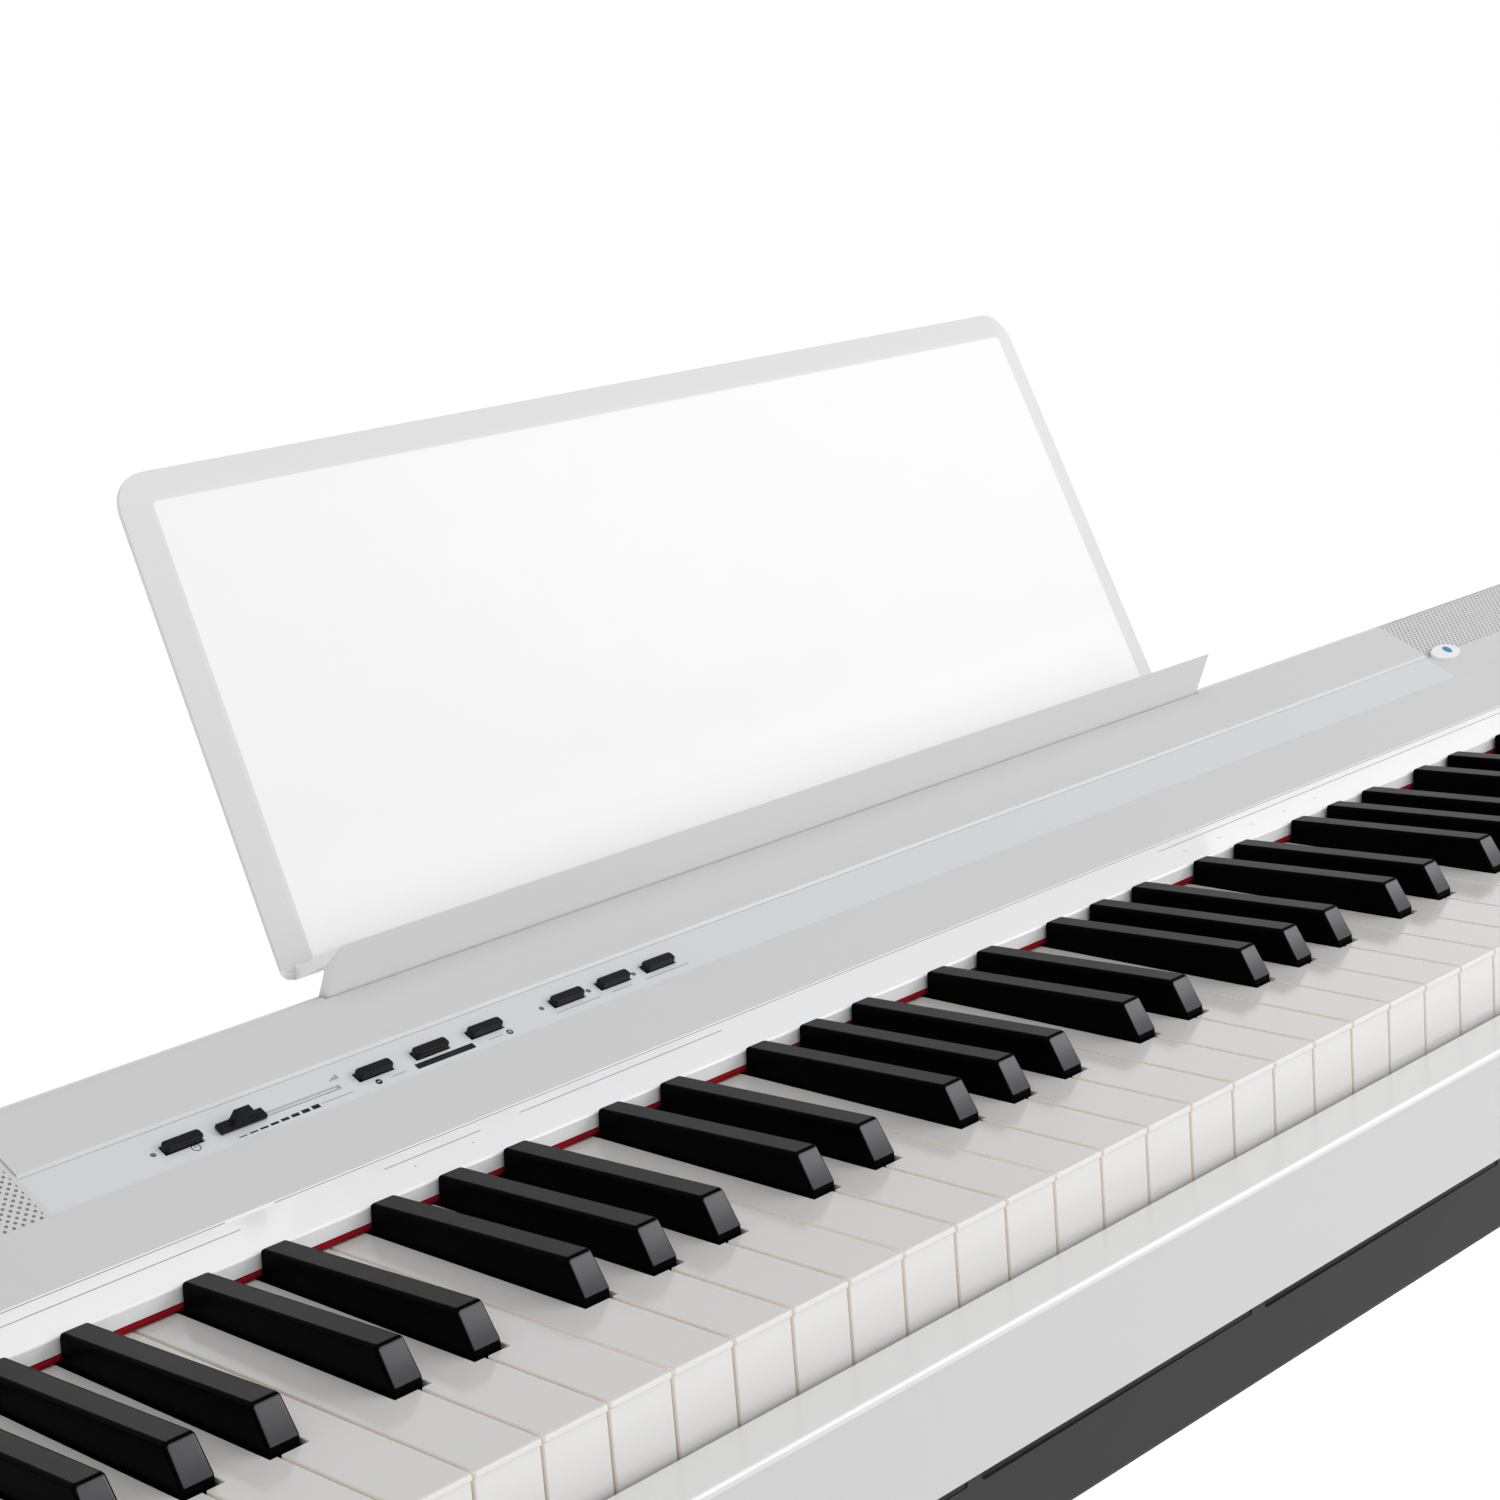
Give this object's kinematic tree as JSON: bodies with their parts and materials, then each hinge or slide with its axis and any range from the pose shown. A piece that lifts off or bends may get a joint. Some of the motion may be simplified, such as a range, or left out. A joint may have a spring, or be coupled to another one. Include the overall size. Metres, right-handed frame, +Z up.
{
  "type": "digital piano on stand",
  "caption": "Slab digital piano with full-size black and white keys, sloping control panel, speaker grilles and leaning music rest, on a fixed white board stand.",
  "frame": {"origin": "middle of the footprint on the floor, under the middle of the keyboard's bounding box", "axes": "+X to the player's right along the keyboard, +Y from the player towards the back, +Z up"},
  "size_m": [1.278, 0.3912, 0.9524],
  "materials": {
    "white_shell": "satin, very fine texture",
    "control_strip": "semi-gloss",
    "music_rest_board": "fine texture",
    "black_shell": "fine spark-eroded texture",
    "white_key": "polished, slightly warm",
    "black_key": "satin top, polished sides",
    "red_felt": "pressed felt",
    "grey_felt": "pressed felt",
    "button_black": "gloss",
    "circuit_board": "solder mask",
    "contact_rubber": "moulded silicone",
    "keybed_steel": "zinc-plated sheet",
    "speaker_cone": "pressed paper cone in a steel basket",
    "stand_laminate": "white melamine-faced board"
  },
  "bodies": {
    "case_and_stand": {"upper_case": "white_shell", "front_rail": "white_shell", "end_block_left": "white_shell", "end_block_right": "white_shell", "speaker_grille_left": "white_shell", "speaker_grille_right": "white_shell", "control_strip": "control_strip", "lower_case": "black_shell", "jack_panel": "black_shell", "knob_bolt_front_left": "black_shell", "knob_bolt_front_right": "black_shell", "knob_bolt_rear_left": "black_shell", "knob_bolt_rear_right": "black_shell", "key_felt_strip": "red_felt", "key_stop_felt": "grey_felt", "key_contact_board": "circuit_board", "main_board": "circuit_board", "button_board": "circuit_board", "key_contact_rubber": "contact_rubber", "keybed_frame": "keybed_steel", "slider_potentiometer": "keybed_steel", "stand_bracket_left": "keybed_steel", "stand_bracket_right": "keybed_steel", "speaker_left": "speaker_cone", "speaker_right": "speaker_cone", "stand_side_left": "stand_laminate", "stand_side_right": "stand_laminate", "stand_foot_left": "stand_laminate", "stand_foot_right": "stand_laminate", "stand_back_board": "stand_laminate", "stand_stretcher": "stand_laminate"},
    "key_c4": {"key_c4": "white_key"},
    "key_d4": {"key_d4": "white_key"},
    "key_e4": {"key_e4": "white_key"},
    "key_f4": {"key_f4": "white_key"},
    "key_g4": {"key_g4": "white_key"},
    "key_a4": {"key_a4": "white_key"},
    "key_b4": {"key_b4": "white_key"},
    "key_c_sharp4": {"key_c_sharp4": "black_key"},
    "key_d_sharp4": {"key_d_sharp4": "black_key"},
    "key_f_sharp4": {"key_f_sharp4": "black_key"},
    "key_g_sharp4": {"key_g_sharp4": "black_key"},
    "key_a_sharp4": {"key_a_sharp4": "black_key"},
    "white_keys_a0_to_b1": {"white_keys_a0_to_b1": "white_key"},
    "white_keys_c2_to_b3": {"white_keys_c2_to_b3": "white_key"},
    "white_keys_c5_to_b6": {"white_keys_c5_to_b6": "white_key"},
    "white_keys_c7_to_c8": {"white_keys_c7_to_c8": "white_key"},
    "black_keys_a0_to_a1": {"black_keys_a0_to_a1": "black_key"},
    "black_keys_c2_to_a3": {"black_keys_c2_to_a3": "black_key"},
    "black_keys_c5_to_a6": {"black_keys_c5_to_a6": "black_key"},
    "black_keys_c7_to_a7": {"black_keys_c7_to_a7": "black_key"},
    "power_button": {"power_button": "button_black"},
    "media_back_button": {"media_back_button": "button_black"},
    "media_play_button": {"media_play_button": "button_black"},
    "media_next_button": {"media_next_button": "button_black"},
    "tone_button": {"tone_button": "button_black"},
    "effect_button": {"effect_button": "button_black"},
    "metronome_button": {"metronome_button": "button_black"},
    "volume_slider_knob": {"volume_slider_knob": "button_black"},
    "music_rest": {"music_rest": "music_rest_board"}
  },
  "joints": [
    {"name": "key_c4_press", "type": "hinge", "parent": "case_and_stand", "child": "key_c4", "pos_m": [0, 0.07239, 0.7287], "axis": [1, 0, 0], "range_deg": [0, 2.6], "stiffness_Nm_per_rad": 1, "springref_deg": -11.46},
    {"name": "key_d4_press", "type": "hinge", "parent": "case_and_stand", "child": "key_d4", "pos_m": [0, 0.07239, 0.7287], "axis": [1, 0, 0], "range_deg": [0, 2.6], "stiffness_Nm_per_rad": 1, "springref_deg": -11.46},
    {"name": "key_e4_press", "type": "hinge", "parent": "case_and_stand", "child": "key_e4", "pos_m": [0, 0.07239, 0.7287], "axis": [1, 0, 0], "range_deg": [0, 2.6], "stiffness_Nm_per_rad": 1, "springref_deg": -11.46},
    {"name": "key_f4_press", "type": "hinge", "parent": "case_and_stand", "child": "key_f4", "pos_m": [0, 0.07239, 0.7287], "axis": [1, 0, 0], "range_deg": [0, 2.6], "stiffness_Nm_per_rad": 1, "springref_deg": -11.46},
    {"name": "key_g4_press", "type": "hinge", "parent": "case_and_stand", "child": "key_g4", "pos_m": [0, 0.07239, 0.7287], "axis": [1, 0, 0], "range_deg": [0, 2.6], "stiffness_Nm_per_rad": 1, "springref_deg": -11.46},
    {"name": "key_a4_press", "type": "hinge", "parent": "case_and_stand", "child": "key_a4", "pos_m": [0, 0.07239, 0.7287], "axis": [1, 0, 0], "range_deg": [0, 2.6], "stiffness_Nm_per_rad": 1, "springref_deg": -11.46},
    {"name": "key_b4_press", "type": "hinge", "parent": "case_and_stand", "child": "key_b4", "pos_m": [0, 0.07239, 0.7287], "axis": [1, 0, 0], "range_deg": [0, 2.6], "stiffness_Nm_per_rad": 1, "springref_deg": -11.46},
    {"name": "key_c_sharp4_press", "type": "hinge", "parent": "case_and_stand", "child": "key_c_sharp4", "pos_m": [0, 0.04039, 0.7177], "axis": [1, 0, 0], "range_deg": [0, 3.8], "stiffness_Nm_per_rad": 0.6, "springref_deg": -9.74},
    {"name": "key_d_sharp4_press", "type": "hinge", "parent": "case_and_stand", "child": "key_d_sharp4", "pos_m": [0, 0.04039, 0.7177], "axis": [1, 0, 0], "range_deg": [0, 3.8], "stiffness_Nm_per_rad": 0.6, "springref_deg": -9.74},
    {"name": "key_f_sharp4_press", "type": "hinge", "parent": "case_and_stand", "child": "key_f_sharp4", "pos_m": [0, 0.04039, 0.7177], "axis": [1, 0, 0], "range_deg": [0, 3.8], "stiffness_Nm_per_rad": 0.6, "springref_deg": -9.74},
    {"name": "key_g_sharp4_press", "type": "hinge", "parent": "case_and_stand", "child": "key_g_sharp4", "pos_m": [0, 0.04039, 0.7177], "axis": [1, 0, 0], "range_deg": [0, 3.8], "stiffness_Nm_per_rad": 0.6, "springref_deg": -9.74},
    {"name": "key_a_sharp4_press", "type": "hinge", "parent": "case_and_stand", "child": "key_a_sharp4", "pos_m": [0, 0.04039, 0.7177], "axis": [1, 0, 0], "range_deg": [0, 3.8], "stiffness_Nm_per_rad": 0.6, "springref_deg": -9.74},
    {"name": "white_keys_a0_to_b1_press", "type": "hinge", "parent": "case_and_stand", "child": "white_keys_a0_to_b1", "pos_m": [0, 0.07239, 0.7287], "axis": [1, 0, 0], "range_deg": [0, 2.6], "stiffness_Nm_per_rad": 9, "springref_deg": -11.46},
    {"name": "white_keys_c2_to_b3_press", "type": "hinge", "parent": "case_and_stand", "child": "white_keys_c2_to_b3", "pos_m": [0, 0.07239, 0.7287], "axis": [1, 0, 0], "range_deg": [0, 2.6], "stiffness_Nm_per_rad": 14, "springref_deg": -11.46},
    {"name": "white_keys_c5_to_b6_press", "type": "hinge", "parent": "case_and_stand", "child": "white_keys_c5_to_b6", "pos_m": [0, 0.07239, 0.7287], "axis": [1, 0, 0], "range_deg": [0, 2.6], "stiffness_Nm_per_rad": 14, "springref_deg": -11.46},
    {"name": "white_keys_c7_to_c8_press", "type": "hinge", "parent": "case_and_stand", "child": "white_keys_c7_to_c8", "pos_m": [0, 0.07239, 0.7287], "axis": [1, 0, 0], "range_deg": [0, 2.6], "stiffness_Nm_per_rad": 8, "springref_deg": -11.46},
    {"name": "black_keys_a0_to_a1_press", "type": "hinge", "parent": "case_and_stand", "child": "black_keys_a0_to_a1", "pos_m": [0, 0.04039, 0.7177], "axis": [1, 0, 0], "range_deg": [0, 3.8], "stiffness_Nm_per_rad": 3.6, "springref_deg": -9.74},
    {"name": "black_keys_c2_to_a3_press", "type": "hinge", "parent": "case_and_stand", "child": "black_keys_c2_to_a3", "pos_m": [0, 0.04039, 0.7177], "axis": [1, 0, 0], "range_deg": [0, 3.8], "stiffness_Nm_per_rad": 6, "springref_deg": -9.74},
    {"name": "black_keys_c5_to_a6_press", "type": "hinge", "parent": "case_and_stand", "child": "black_keys_c5_to_a6", "pos_m": [0, 0.04039, 0.7177], "axis": [1, 0, 0], "range_deg": [0, 3.8], "stiffness_Nm_per_rad": 6, "springref_deg": -9.74},
    {"name": "black_keys_c7_to_a7_press", "type": "hinge", "parent": "case_and_stand", "child": "black_keys_c7_to_a7", "pos_m": [0, 0.04039, 0.7177], "axis": [1, 0, 0], "range_deg": [0, 3.8], "stiffness_Nm_per_rad": 3, "springref_deg": -9.74},
    {"name": "power_button_press", "type": "slide", "parent": "case_and_stand", "child": "power_button", "axis": [0, 0.4283, -0.9036], "range_m": [0, 0.0012], "stiffness_N_per_m": 300, "springref_m": -0.002},
    {"name": "media_back_button_press", "type": "slide", "parent": "case_and_stand", "child": "media_back_button", "axis": [0, 0.4283, -0.9036], "range_m": [0, 0.0012], "stiffness_N_per_m": 300, "springref_m": -0.002},
    {"name": "media_play_button_press", "type": "slide", "parent": "case_and_stand", "child": "media_play_button", "axis": [0, 0.4283, -0.9036], "range_m": [0, 0.0012], "stiffness_N_per_m": 300, "springref_m": -0.002},
    {"name": "media_next_button_press", "type": "slide", "parent": "case_and_stand", "child": "media_next_button", "axis": [0, 0.4283, -0.9036], "range_m": [0, 0.0012], "stiffness_N_per_m": 300, "springref_m": -0.002},
    {"name": "tone_button_press", "type": "slide", "parent": "case_and_stand", "child": "tone_button", "axis": [0, 0.4283, -0.9036], "range_m": [0, 0.0012], "stiffness_N_per_m": 300, "springref_m": -0.002},
    {"name": "effect_button_press", "type": "slide", "parent": "case_and_stand", "child": "effect_button", "axis": [0, 0.4283, -0.9036], "range_m": [0, 0.0012], "stiffness_N_per_m": 300, "springref_m": -0.002},
    {"name": "metronome_button_press", "type": "slide", "parent": "case_and_stand", "child": "metronome_button", "axis": [0, 0.4283, -0.9036], "range_m": [0, 0.0012], "stiffness_N_per_m": 300, "springref_m": -0.002},
    {"name": "volume_slide", "type": "slide", "parent": "case_and_stand", "child": "volume_slider_knob", "axis": [1, 0, 0], "range_m": [0, 0.031]},
    {"name": "music_rest_lift", "type": "slide", "parent": "case_and_stand", "child": "music_rest", "axis": [0, -0.4283, 0.9036], "range_m": [0, 0.009]}
  ]
}
